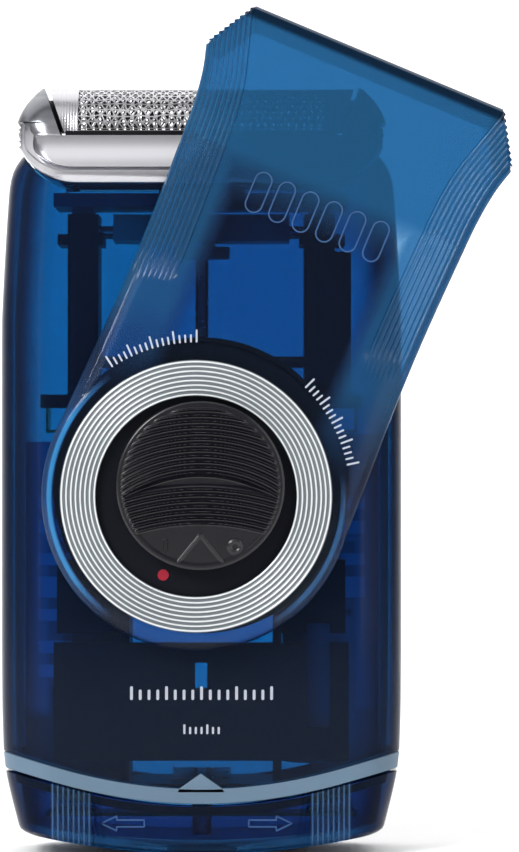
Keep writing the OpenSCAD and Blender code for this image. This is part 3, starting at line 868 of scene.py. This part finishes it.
def head_bezel():
    """Upper part of the frame; its front rolls back towards both ends and over the ears."""
    rows, cols = 90, 110
    rings = []
    for j in range(rows + 1):
        z = lerp(BEZEL_Z + 0.05, EAR_Z - 0.03, 0.5 - 0.5 * math.cos(math.pi * j / rows))
        half, depth = head_half(z), head_depth(z)
        front = []
        for i in range(cols + 1):
            x = half * math.sin(math.pi / 2 * lerp(-1, 1, i / cols))
            end = half - abs(x)
            r = min(lerp(0.4, 4.2, smoothstep(BEZEL_Z + 0.1, RIM_Z + 0.2, z)), 0.85 * depth)
            roll = r * (1 - math.sqrt(max(1 - (1 - min(end / r, 1.0)) ** 2, 0.0))) if r > 0 else 0.0
            front.append((x, -max(depth - roll, 0.02), z))
        rings.append(front + [(x, -y, z) for x, y, z in reversed(front)])
    body = loft("head_bezel", rings)
    cut_window(body)
    boolean(body, prism_y("window", mirrored([(0, RIM_Z)] + EAR_EDGE + [(0, EAR_EDGE[-1][1])]), -20, 20))
    bevel(body, 0.14, 2, 50)
    return body


def head_skirt():
    seat = arc(SEAT_HALF, SEAT_Z + SEAT_R, SEAT_R - 0.03, -90, -31, 18)
    groove = arc(END_X, END_Z, 8.45, -33, -90, 22)
    outline = mirrored([(0, SEAT_Z + 0.03)] + seat + [(26.72, 105.2), (26.7, 105.7)] + groove + [(0, 101.95)])
    skirt = prism_y("head_skirt", outline, -HEAD_Y, HEAD_Y)
    cut_window(skirt)
    bevel(skirt, 0.16, 2, 40)
    core_outline = mirrored([(0, 101.0)] + arc(END_X, END_Z, 8.6, -90, -20, 14) + [(26.3, 109.2), (0, 109.2)])
    core_y = HEAD_Y - 0.75
    core = prism_y("head_core", core_outline, -core_y, core_y)
    cut_window(core)
    side = mirrored([(0, 99), (core_y, 99), (core_y, 101.8), (7.6, 108), (7.4, 110)])
    boolean(core, prism_x("side", side, -30, 30), "INTERSECT")
    return [skirt, core]


def grip_ribs():
    """Ribs that start on the front, follow the corner and wrap round the end."""
    ribs = []
    count, end_x, face = 5, 26.78, HEAD_Y - 0.02
    for i in range(count):
        t = (i + 0.5) / count
        path = arc(lerp(SEAT_HALF, END_X, t), lerp(SEAT_Z + SEAT_R, END_Z, t), lerp(9.2, 8.75, t),
                   -82 + 4 * (1 - t), -30 + 22 * t, 14)
        end_z = path[-1][1]
        front = [(min(x, end_x - 0.3), -face, z) for x, z in path]
        side = [(end_x, -face + 0.35, end_z), (end_x, face - 0.35, end_z)]
        back = [(x, -y, z) for x, y, z in reversed(front)]
        for sx in (-1, 1):
            whole = [(sx * x, y, z) for x, y, z in front + side + back]
            last = len(whole) - 1
            radius = [0.27 * smoothstep(-0.5, 5.0, min(j, last - j)) + 0.02 for j in range(last + 1)]
            ribs.append(sweep("rib", whole, radius, 8))
    return ribs


def head_frame():
    parts = [head_bezel()] + head_skirt() + grip_ribs()
    head = join("head_frame_skin", parts)
    return finish_piece(head, "housing", "silver_frame", FRAME_SILVER, "head_frame", angle=40)


# ---- foil ----


def foil():
    """Arch of a jittered triangle lattice: each triangle is a hole with rounded corners in a thin web."""
    rng = random.Random(7)
    side = 1.18
    row_h = side * math.sqrt(3) / 2
    length = 18.7
    sweep_half = 10.3
    rows = int(2 * sweep_half / row_h) + 1
    cols = int(2 * length / side) + 2
    points = {}
    for j in range(rows + 1):
        for i in range(cols + 1):
            x = -length + (i + 0.5 * (j % 2)) * side
            s = -sweep_half + j * row_h
            edge = j in (0, rows) or i in (0, cols)
            wobble = 0.0 if edge else 0.19 * side
            points[i, j] = (x + rng.uniform(-wobble, wobble), s + rng.uniform(-wobble, wobble))
    verts, faces, index = [], [], {}

    def vertex(p, key=None):
        if key is not None and key in index:
            return index[key]
        verts.append(p)
        if key is not None:
            index[key] = len(verts) - 1
        return len(verts) - 1

    for j in range(rows):
        for i in range(cols):
            if j % 2 == 0:
                triples = [((i, j), (i + 1, j), (i, j + 1)), ((i + 1, j), (i + 1, j + 1), (i, j + 1))]
            else:
                triples = [((i, j), (i + 1, j), (i + 1, j + 1)), ((i, j), (i + 1, j + 1), (i, j + 1))]
            for keys in triples:
                corners = [points[k] for k in keys]
                outer = [vertex(points[k], k) for k in keys]
                centre = np.mean(corners, axis=0)
                hole = []
                for a in range(3):
                    p, q, r = (np.array(corners[(a + d) % 3]) for d in (-1, 0, 1))
                    to_centre = centre - q
                    reach = 0.27 + 0.03 * rng.random()
                    for toward in (p, r):
                        hole.append(vertex(tuple(q + to_centre * reach + (toward - q) * 0.10)))
                for a in range(3):
                    b = (a + 1) % 3
                    faces.append((outer[a], hole[2 * a], hole[2 * a + 1]))
                    faces.append((outer[a], hole[2 * a + 1], hole[2 * b], outer[b]))
    bent = []
    for x, s in verts:
        a = s / FOIL_R
        if abs(a) <= math.pi / 2:
            bent.append((x, FOIL_R * math.sin(a), ARCH_Z + FOIL_R * math.cos(a)))
        else:
            bent.append((x, math.copysign(FOIL_R, s), ARCH_Z - (abs(s) - FOIL_R * math.pi / 2)))
    return thicken(mesh_object("foil_web", bent, faces), 0.14, -1)


def foil_ends():
    """Plain strips at the ends of the foil and along its feet, with fine lines pressed in."""
    strips = []
    columns, n, start, pitch, depth = 40, 49, 18.5, 0.42, 0.035
    for sx in (-1, 1):
        verts = []
        for k in range(columns + 1):
            for part in range(n):
                a = lerp(-math.pi / 2, math.pi / 2, part / (n - 1))
                rise = (ARCH_Z + FOIL_R * math.cos(a) - RIM_Z) / 7.3
                x = lerp(start, lerp(20.35, 22.9, min(max(rise, 0.0), 1.0)), k / columns)
                r = FOIL_R - 0.03 + depth * math.sin(TAU * (x - start) / pitch)
                verts.append((sx * x, r * math.sin(a), ARCH_Z + r * math.cos(a)))
        faces = [(k * n + i, k * n + i + 1, (k + 1) * n + i + 1, (k + 1) * n + i)
                 for k in range(columns) for i in range(n - 1)]
        strips.append(thicken(mesh_object("foil_end", verts, faces), 0.12, 0))
    for sy in (-1, 1):
        outline = [(sy * (FOIL_R - y), z) for y, z in
                   ((0.16, 103.6), (0.02, 103.6), (0.02, ARCH_Z + 0.5), (0.16, ARCH_Z + 0.5))]
        strips.append(prism_x("foil_foot", outline, -20.2, 20.2))
    return strips


def foil_piece():
    whole = join("foil_skin", [foil()] + foil_ends())
    return finish_piece(whole, "foil_unit", "foil_steel", FOIL_STEEL, "foil", angle=50)


# ---- twist cap ----

SIDE = [(-1.7, 22.9), (10, 22.5), (22, 22.1), (33, 22.1), (46, 22.5), (52, 22.8), (57, 23.5), (61, 24.6),
        (68.5, 26.9)]
RIB_ZONE = 6.8
RIB_COUNT = 9


def chamfer(v):
    """Half width of the hood's chamfered corner at v."""
    if v <= SHOULDER_V:
        return 99.0
    return lerp(SHOULDER_HALF, LIP_HALF, (v - SHOULDER_V) / (LIP_V - SHOULDER_V))


def cap_tray():
    """Front plate of the cap: a plate whose rounded edges carry the ribs."""
    per_rib = 10
    zone = RIB_COUNT * per_rib
    middle = 24
    rows = 150
    v0, v1 = -1.7, LIP_V - 0.02
    fronts, backs = [], []
    for j in range(rows + 1):
        v = lerp(v0, v1, j / rows)
        half = through(SIDE, v)
        ribbed = smoothstep(24.0, 30.0, v)
        width = lerp(3.2, RIB_ZONE, smoothstep(2.0, 30.0, v))
        limit = chamfer(v)
        lip_round = 0.9 * (1 - math.sqrt(max(0.0, 1 - max(0.0, (v - (LIP_V - 0.9)) / 0.9) ** 2)))
        right = []
        for i in range(zone + 1):
            d = width * i / zone
            u = half - d
            profile = math.sqrt(max(0.0, 1 - (1 - d / width) ** 2))
            y = -15.0 - (-15.0 - CAP_FACE_Y) * profile
            wave = 0.5 - 0.5 * math.cos(TAU * i / per_rib)
            groove = 0.26 * (1 - wave) * ribbed * (1 if 0 < i < zone else 0.5)
            edge = limit - 0.45
            if u > edge:
                u, groove = edge + (u - edge) * 0.03, 0.0
            right.append((u, y + lip_round, groove))
        inner = half - width
        mids = [(lerp(inner, -inner, k / middle), CAP_FACE_Y + lip_round, 0.0) for k in range(1, middle)]
        row = right + mids + [(-u, y, groove) for u, y, groove in reversed(right)]
        fronts.append([(u, y + groove, v) for u, y, groove in row])
        backs.append([(u * (half - 0.9) / half if abs(u) > 1 else u, min(y + 2.0, CAP_BACK_Y), v)
                      for u, y, _ in row])
    n = len(fronts[0])
    verts = [p for r in fronts for p in r] + [p for r in backs for p in r]
    base = len(fronts) * n
    faces = []
    for j in range(rows):
        for i in range(n - 1):
            a = j * n + i
            faces.append((a, a + 1, a + n + 1, a + n))
            faces.append((base + a, base + a + n, base + a + n + 1, base + a + 1))
    for j in range(rows):
        for i in (0, n - 1):
            a = j * n + i
            faces.append((a, a + n, base + a + n, base + a))
    for j in (0, rows):
        for i in range(n - 1):
            a = j * n + i
            faces.append((a, a + 1, base + a + 1, base + a))
    return mesh_object("cap_tray", verts, faces)


def hood_outline(inset, low_v):
    """Right half of the hood's upper outline, from its lower end to the lip, with scallops on the chamfer."""
    steps = RIB_COUNT * 6
    points = []
    for k in range(steps + 1):
        t = k / steps
        v = lerp(SHOULDER_V, LIP_V - 0.15, t)
        scallop = 0.0 if inset else -0.32 * (0.5 + 0.5 * math.cos(TAU * RIB_COUNT * t))
        if v >= low_v:
            points.append((chamfer(v) + scallop - inset * 0.863, v - inset * 0.5045))
    corner = (LIP_HALF - 0.35 * (1 if not inset else 0) - inset * 0.66, LIP_V - inset)
    return points + [corner]


def cap_roof():
    """Roof of the hood: a bent plate, thicker where the head's sweep leaves room."""
    outer = hood_outline(0, 61.2)
    inner = []
    for u, v in hood_outline(ROOF_T, 61.2):
        reach = max(1.0, (SWEEP_R + 0.1) / math.hypot(u, v))
        inner.append((u * reach, v * reach))
    outline = outer + [(-u, v) for u, v in reversed(outer)]
    hollow = inner + [(-u, v) for u, v in reversed(inner)]
    n = len(outline)
    verts, faces = [], []
    for y in (CAP_FACE_Y + 1.0, HOOD_BACK_Y - 0.02):
        verts += [(u, y, v) for u, v in outline]
        verts += [(u, y, v) for u, v in hollow]
    m = 2 * n
    for i in range(n - 1):
        faces.append((i, i + 1, m + i + 1, m + i))
        faces.append((n + i, m + n + i, m + n + i + 1, n + i + 1))
        faces.append((i, n + i, n + i + 1, i + 1))
        faces.append((m + i, m + i + 1, m + n + i + 1, m + n + i))
    for i in (0, n - 1):
        faces.append((i, m + i, m + n + i, n + i))
    return mesh_object("cap_roof", verts, faces)


def cap_hub():
    """Round part of the cap round the ring, with a soft edge."""
    front = CAP_FACE_Y + 0.03
    profile = [(0.02, CAP_BACK_Y), (0.02, -15.5), (0.02, front)]
    profile += [(HUB_R - 1.5 + 1.5 * math.sin(a), front + 1.3 - 1.3 * math.cos(a))
                for a in (math.pi / 2 * k / 8 for k in range(9))]
    profile += [(HUB_R, CAP_BACK_Y + 0.3), (HUB_R - 0.3, CAP_BACK_Y)]
    return lathe_y("cap_hub", profile, 256, (0, -RING_SHIFT))


def cap_shell():
    cap = cap_tray()
    for part in (cap_roof(), cap_hub()):
        boolean(cap, part, "UNION", "MANIFOLD")
    front_y = -20
    for cutter in (
        lathe_disc("bore", 11.3, front_y, -10, (0, 0), 160),
        lathe_disc("recess", RING_BORE_R, front_y, -15.4, (0, -RING_SHIFT), 192),
        lathe_disc("seat", RING_R + 0.05, front_y, CAP_FACE_Y + 1, (0, -RING_SHIFT), 224),
    ):
        boolean(cap, cutter, solver="MANIFOLD")
    dial_marks(cap)
    cap_emblem(cap)
    to_cap(cap)
    cap.name = "cap_shell_skin"
    return finish_piece(cap, "twist_cap", "blue_cap", CAP_BLUE, "cap_shell", angle=38)


def cap_ring():
    """Grip ring: satin lands with a raised line between each two; its material paints these lines bright as a
    highlight.
    """
    y_land = CAP_FACE_Y - 0.35
    y_line = CAP_FACE_Y - 0.58
    lines, pitch = RING_LINES, RING_PITCH
    profile = [(RING_BORE_R + 0.05, CAP_FACE_Y + 0.95), (RING_BORE_R + 0.05, y_line + 0.15)]
    for k in range(lines + 1):
        r = RING_BORE_R + 0.25 + k * pitch
        half = 0.16 if 0 < k < lines else 0.2
        crest = ((-1, y_land), (-0.6, y_line + 0.05), (0, y_line), (0.6, y_line + 0.05), (1, y_land))
        profile += [(r + half * d, y) for d, y in crest]
        if k < lines:
            profile.append((r + pitch / 2, y_land + 0.04))
    profile += [(RING_R, y_line + 0.25), (RING_R, CAP_FACE_Y + 0.95)]
    profile = [(max(r, RING_BORE_R + 0.05), y) for r, y in profile]
    ring = lathe_y("cap_ring_skin", profile, 320, (0, -RING_SHIFT))
    to_cap(ring)
    return finish_piece(ring, "twist_cap", "ring_metal", RING_SILVER, "cap_ring", angle=60)


# ---- plain marks in place of lettering ----


PRINT_T = 0.06


def surface(obj):
    return BVHTree.FromPolygons([v.co for v in obj.data.vertices], [p.vertices for p in obj.data.polygons])


def drape(tree, outline, depth):
    """Closed outline of (x, z) pressed on the front of a surface: a thin plate that follows it."""
    front, back = [], []
    for x, z in outline:
        hit = tree.ray_cast(Vector((x, -40, z)) * MM, Vector((0, 1, 0)))[0]
        y = hit.y / MM if hit else depth
        front.append((x, y - PRINT_T, z))
        back.append((x, y + 0.1, z))
    n = len(outline)
    faces = [tuple(range(n)), tuple(range(2 * n - 1, n - 1, -1))]
    faces += [(i, n + i, n + (i + 1) % n, (i + 1) % n) for i in range(n)]
    return mesh_object("mark", front + back, faces)


def dash(x, z, w, h, turn=0.0):
    """Rounded bar centred on (x, z), turned counter-clockwise."""
    r = min(w, h) / 2 * 0.7
    points = []
    for cx, cz, a0 in ((1, 1, 0), (-1, 1, 90), (-1, -1, 180), (1, -1, 270)):
        for k in range(4):
            a = math.radians(a0 + 30 * k)
            points.append((cx * (w / 2 - r) + r * math.cos(a), cz * (h / 2 - r) + r * math.sin(a)))
    c, s = math.cos(turn), math.sin(turn)
    return [(x + px * c - pz * s, z + px * s + pz * c) for px, pz in points]


def dial_marks(cap):
    """Two arcs of printed ticks round the grip ring, in the cap's own frame."""
    marks = []
    tree = surface(cap)
    for side in (-1, 1):
        for k in range(17):
            a = math.radians(90 - side * lerp(22.5, 55.5, k / 16))
            length = 1.9 if k % 4 == 0 else 1.2
            r = 22.7 + length / 2
            tick = dash(r * math.cos(a), r * math.sin(a) - RING_SHIFT, length, 0.27, a)
            marks.append(drape(tree, tick, CAP_FACE_Y))
    marks = join("dial_marks", marks)
    to_cap(marks)
    return finish_piece(marks, "twist_cap", "white_plastic", WHITE_PRINT)


def cap_emblem(cap):
    """Row of raised upright outlines on the hood, in the cap's own frame."""
    tubes = []
    w, h = 2.5, 6.2
    for column in range(6):
        path = []
        for cz, a0 in ((1, 0), (-1, 180)):
            for k in range(13):
                a = math.radians(a0 + 180 * k / 12)
                path.append((0.6 + (column - 2.5) * 3.75 + w / 2 * math.cos(a), CAP_FACE_Y - 0.03,
                             43.2 + cz * (h - w) / 2 + w / 2 * math.sin(a)))
        tubes.append(sweep("emblem", path, 0.12, 8, closed=True))
    emblem = join("cap_emblem", tubes)
    to_cap(emblem)
    return finish_piece(emblem, "twist_cap", "blue_cap", PALE_BLUE)


def body_marks(shell):
    """Printed rows of dashes low on the front shell."""
    marks = []
    tree = surface(shell)
    for count, z, w, h, pitch in ((17, 24.0, 0.42, 1.5, 1.3), (7, 18.7, 0.32, 1.05, 0.85)):
        for k in range(count):
            tall = 0.6 * w if k % 4 == 0 else 0.0
            x = (k - (count - 1) / 2) * pitch + 0.1
            marks.append(drape(tree, dash(x, z + tall, w, h + 2 * tall), -HALF_D))
    marks = join("body_marks", marks)
    return finish_piece(marks, "housing", "white_plastic", WHITE_PRINT)


def lid_marks():
    """Raised arrows on the lid, one to each side."""
    tubes = []
    for cx, sx in ((-11.6, -1), (10.3, 1)):
        shape = [(-3.2, 0.5), (0.9, 0.5), (0.9, 1.1), (3.2, 0.0), (0.9, -1.1), (0.9, -0.5), (-3.2, -0.5)]
        path = [(cx + sx * x, -HALF_D + 0.02, 4.9 + z) for x, z in shape]
        dense = []
        for p, q in zip(path, path[1:] + path[:1]):
            dense += [tuple(lerp(a, b, k / 5) for a, b in zip(p, q)) for k in range(5)]
        tubes.append(sweep("arrow", dense, 0.13, 6, closed=True))
    marks = join("lid_marks", tubes)
    return finish_piece(marks, "lid_unit", "blue_housing", PALE_BLUE)


# ---- knob ----


def knob_height(x, z):
    """How far the knob's face stands out, over its flat: ridges, the finger hollow and the pointer."""
    height, pitch, low_pitch = 0.0, 0.845, 0.83

    def ridge(offset):
        return 0.48 * math.exp(-(offset / 0.17) ** 2)

    upper = math.hypot(x, z - (12.1 - 31)) - 31
    lower = math.hypot(x, z - (-0.45 - 39)) - 39
    edge = 1 - smoothstep(KNOB_R - 1.1, KNOB_R - 0.7, math.hypot(x, z))
    k = -upper / pitch
    if -0.4 < k < 12.4:
        height += ridge((k - round(k)) * pitch)
    j = -lower / low_pitch
    if -0.4 < j < 6.4:
        height += ridge((j - round(j)) * low_pitch)
    hollow = smoothstep(12.2, 12.9, k) * (1 - smoothstep(-1.2, -0.3, j))
    height -= 0.5 * hollow
    if j > 6.4:
        height -= 0.08
    apex, foot, half = -7.2, -11.15, 3.25
    if foot < z < apex + 0.5:
        line = half * (apex - z) / (apex - foot)
        for side in (-1, 1):
            off = abs(x - side * line) * math.cos(math.atan2(half, apex - foot))
            if z < apex + 0.15:
                height += 0.22 * math.exp(-(off / 0.13) ** 2)
    mark_x, mark_z, mark_h = 5.1, -8.9, 0.18
    if abs(x + mark_x) < 0.28 and abs(z - mark_z) < 0.95:
        height += mark_h
    off = abs(math.hypot(x - mark_x, z - mark_z) - 0.8)
    height += mark_h * math.exp(-(off / 0.2) ** 2)
    return height * edge


def knob():
    step = 0.085
    face_y = -19.0
    count = int(KNOB_R / step) + 2
    verts, faces, grid = [], [], {}
    rim = KNOB_R - 0.35

    def vertex(i, j):
        if (i, j) not in grid:
            x, z = i * step, j * step
            r = math.hypot(x, z)
            if r > rim:
                x, z = x * rim / r, z * rim / r
            grid[i, j] = len(verts)
            verts.append((x, face_y - knob_height(x, z), PIVOT_Z + z))
        return grid[i, j]

    for i in range(-count, count):
        for j in range(-count, count):
            corners = [(i, j), (i + 1, j), (i + 1, j + 1), (i, j + 1)]
            inside = [math.hypot(a * step, b * step) <= rim for a, b in corners]
            if any(inside):
                faces.append(tuple(vertex(a, b) for a, b in corners))
    top = mesh_object("knob_top", verts, faces)
    bm = bmesh.new()
    bm.from_mesh(top.data)
    bmesh.ops.dissolve_degenerate(bm, edges=bm.edges, dist=2e-6)
    for grow, back in ((0.22, 0.06), (0.13, 0.2), (0.0, 1.9)):
        edges = [e for e in bm.edges if e.is_boundary]
        made = bmesh.ops.extrude_edge_only(bm, edges=edges)["geom"]
        for v in (g for g in made if isinstance(g, bmesh.types.BMVert)):
            out = Vector((v.co.x, 0, v.co.z - PIVOT_Z * MM))
            r = out.length
            v.co += out / r * grow * MM
            v.co.y += back * MM
    bmesh.ops.holes_fill(bm, edges=[e for e in bm.edges if e.is_boundary], sides=0)
    bmesh.ops.recalc_face_normals(bm, faces=bm.faces)
    bm.to_mesh(top.data)
    bm.free()
    spindle = lathe_disc("spindle", 5.0, -17.0, -8.3, (0, PIVOT_Z), 64)
    whole = join("knob_skin", [top, spindle])
    return finish_piece(whole, "knob_unit", "black_plastic", KNOB_BLACK, "knob", angle=60)


# ---- stage, light and camera ----


def stage():
    """White floor that curves up into a backdrop."""
    side, near, bend, r, top, steps = 2400, -2600, 500, 400, 1800, 16
    profile = [(near, 0), (bend, 0)]
    turns = [math.pi / 2 * k / steps for k in range(1, steps + 1)]
    profile += [(bend + r * math.sin(a), r - r * math.cos(a)) for a in turns]
    profile += [(bend + r, top)]
    n = len(profile)
    verts = [(x, y, z) for x in (-side, side) for y, z in profile]
    faces = [(i, i + 1, n + i + 1, n + i) for i in range(n - 1)]
    floor = mesh_object("studio_floor", verts, faces)
    floor.data.flip_normals()
    for p in floor.data.polygons:
        p.use_smooth = True
    floor.data.materials.append(floor_material())


def area_light(name, place, aim, size, power):
    data = bpy.data.lights.new(name, "AREA")
    data.shape = "RECTANGLE"
    data.size, data.size_y = (s * MM for s in size)
    data.energy = power
    lamp = bpy.data.objects.new(name, data)
    bpy.context.scene.collection.objects.link(lamp)
    lamp.location = Vector(place) * MM
    lamp.rotation_euler = (Vector(aim) - Vector(place)).to_track_quat("-Z", "Y").to_euler()


def lights():
    world = bpy.data.worlds.new("studio")
    bpy.context.scene.world = world
    world.use_nodes = True
    background = world.node_tree.nodes["Background"]
    background.inputs["Color"].default_value = (1, 1, 1, 1)
    background.inputs["Strength"].default_value = 0.24
    area_light("overhead", (0, 620, 800), (0, 620, 0), (1700, 1150), 11.4)
    area_light("backdrop_wash", (0, 420, 300), (0, 900, 260), (900, 600), 1.8)
    area_light("key", (-360, -430, 420), (0, 0, 70), (260, 260), 3.6)
    area_light("front_top", (-60, -330, 700), (0, 0, 100), (640, 380), 0.85)
    area_light("fill", (430, -420, 180), (0, 0, 60), (480, 620), 0.9)
    for side in (-1, 1):
        area_light("strip", (side * 380, -590, 90), (0, 0, 60), (90, 800), 0.3)
        area_light("panel", (side * 620, -330, 200), (0, -20, 60), (760, 900), 0.8)


def camera():
    data = bpy.data.cameras.new("camera")
    cam = bpy.data.objects.new("camera", data)
    bpy.context.scene.collection.objects.link(cam)
    distance, height, side, frame_h, sensor = 700, 63.9, 8.7, 128.76, 24
    cam.location = Vector((side, -distance, height)) * MM
    cam.rotation_euler = (math.pi / 2, 0, 0)
    data.sensor_fit = "VERTICAL"
    data.sensor_height = sensor
    data.lens = sensor * distance / frame_h
    data.clip_start = 0.01
    data.clip_end = 10
    bpy.context.scene.camera = cam


bpy.context.scene.view_settings.view_transform = "Standard"
camera()
lights()
stage()
paint_cad_nodes()
front_shell()
rear_shell()
trim_band()
battery_lid()
head_frame()
foil_piece()
cap_shell()
cap_ring()
knob()
